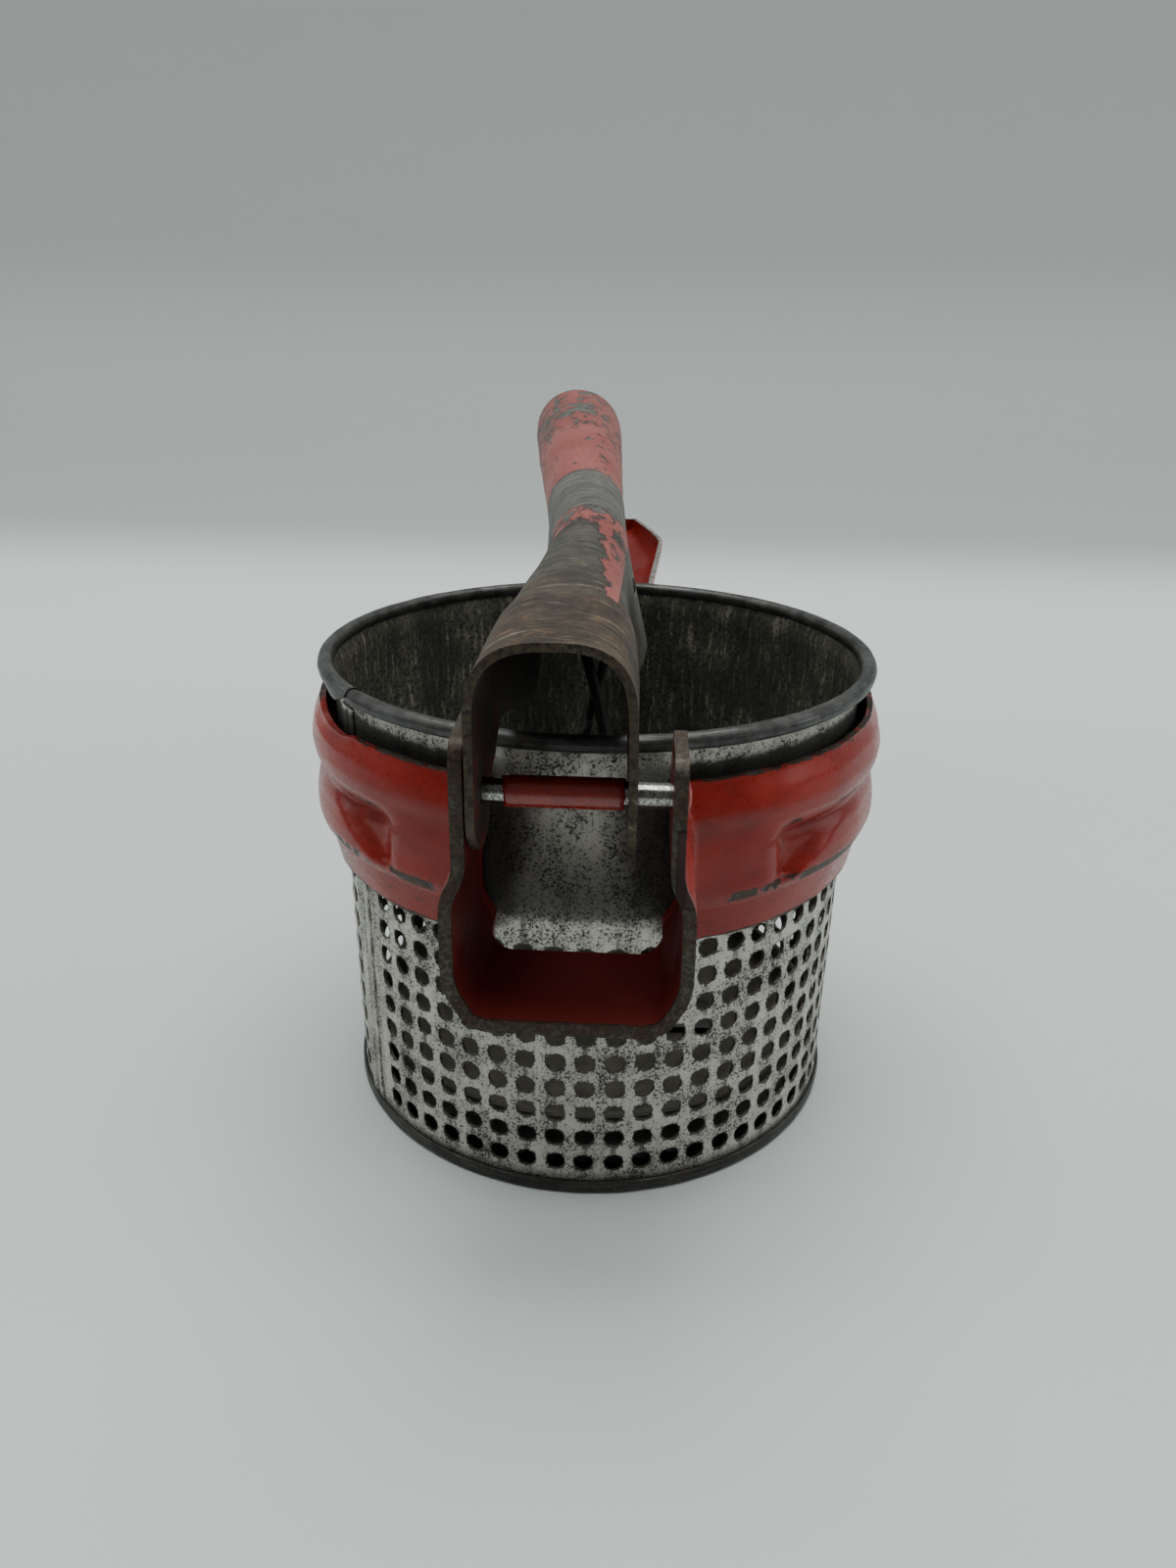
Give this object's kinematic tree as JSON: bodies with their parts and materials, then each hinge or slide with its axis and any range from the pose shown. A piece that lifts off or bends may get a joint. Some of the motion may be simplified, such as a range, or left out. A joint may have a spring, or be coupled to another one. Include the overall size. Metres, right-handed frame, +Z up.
{
  "type": "potato ricer",
  "caption": "Hand-lever ricer: perforated tin basket in a pressed red frame, with a hinged lever that drives a round plunger into the basket.",
  "frame": {"origin": "centre of the basket's flat underside, on the plane that it stands on", "axes": "+Z up along the basket's axis, +Y along the two handles away from the hinge, +X to the right seen from the hinge end"},
  "size_m": [0.0994, 0.274, 0.1101],
  "materials": {
    "tin_plate": "dull, mottled tin plate with dark specks and rust",
    "oxidised_tin": "dark oxidised tin, scratched",
    "red_enamel": "glossy red enamel, chipped to rusty steel at edges and creases",
    "worn_lever": "faded red enamel worn to brown-grey rusty steel",
    "bright_steel": "polished bare steel",
    "plunger_tin": "dull tinned steel"
  },
  "bodies": {
    "frame": {"collar_frame": "red_enamel", "lower_handle": "red_enamel", "handle_rivet_left": "red_enamel", "handle_rivet_right": "red_enamel", "hinge_pin": "bright_steel"},
    "lever": {"upper_lever": "worn_lever", "plunger_pivot_pin": "bright_steel"},
    "sleeve": {"hinge_sleeve": "red_enamel"},
    "plunger": {"plunger_link_right": "plunger_tin", "plunger_link_left": "plunger_tin", "plunger_plate": "plunger_tin", "plunger_rivet_left_front": "plunger_tin", "plunger_rivet_left_rear": "plunger_tin", "plunger_rivet_right_front": "plunger_tin", "plunger_rivet_right_rear": "plunger_tin"},
    "basket": {"basket_wall": "tin_plate", "basket_bottom": "tin_plate", "side_seam": "tin_plate", "bottom_ring": "oxidised_tin", "basket_rim": "oxidised_tin", "rim_wire": "oxidised_tin"}
  },
  "joints": [
    {"name": "lever_hinge", "type": "hinge", "parent": "frame", "child": "lever", "pos_m": [0, -0.0655, 0.0814], "axis": [1, 0, 0], "range_deg": [0, 32]},
    {"name": "plunger_swing", "type": "hinge", "parent": "lever", "child": "plunger", "pos_m": [0, 0, 0.092], "axis": [1, 0, 0], "range_deg": [-22.4, 0]},
    {"name": "sleeve_spin", "type": "hinge", "parent": "frame", "child": "sleeve", "pos_m": [0, -0.0655, 0.0814], "axis": [1, 0, 0], "continuous": true},
    {"name": "basket_seat", "type": "slide", "parent": "frame", "child": "basket", "axis": [0, 0, 1], "range_m": [-0.004, 0]}
  ],
  "couplings": [
    {"joint": "plunger_swing", "follows": "lever_hinge", "ratio": -0.7}
  ]
}
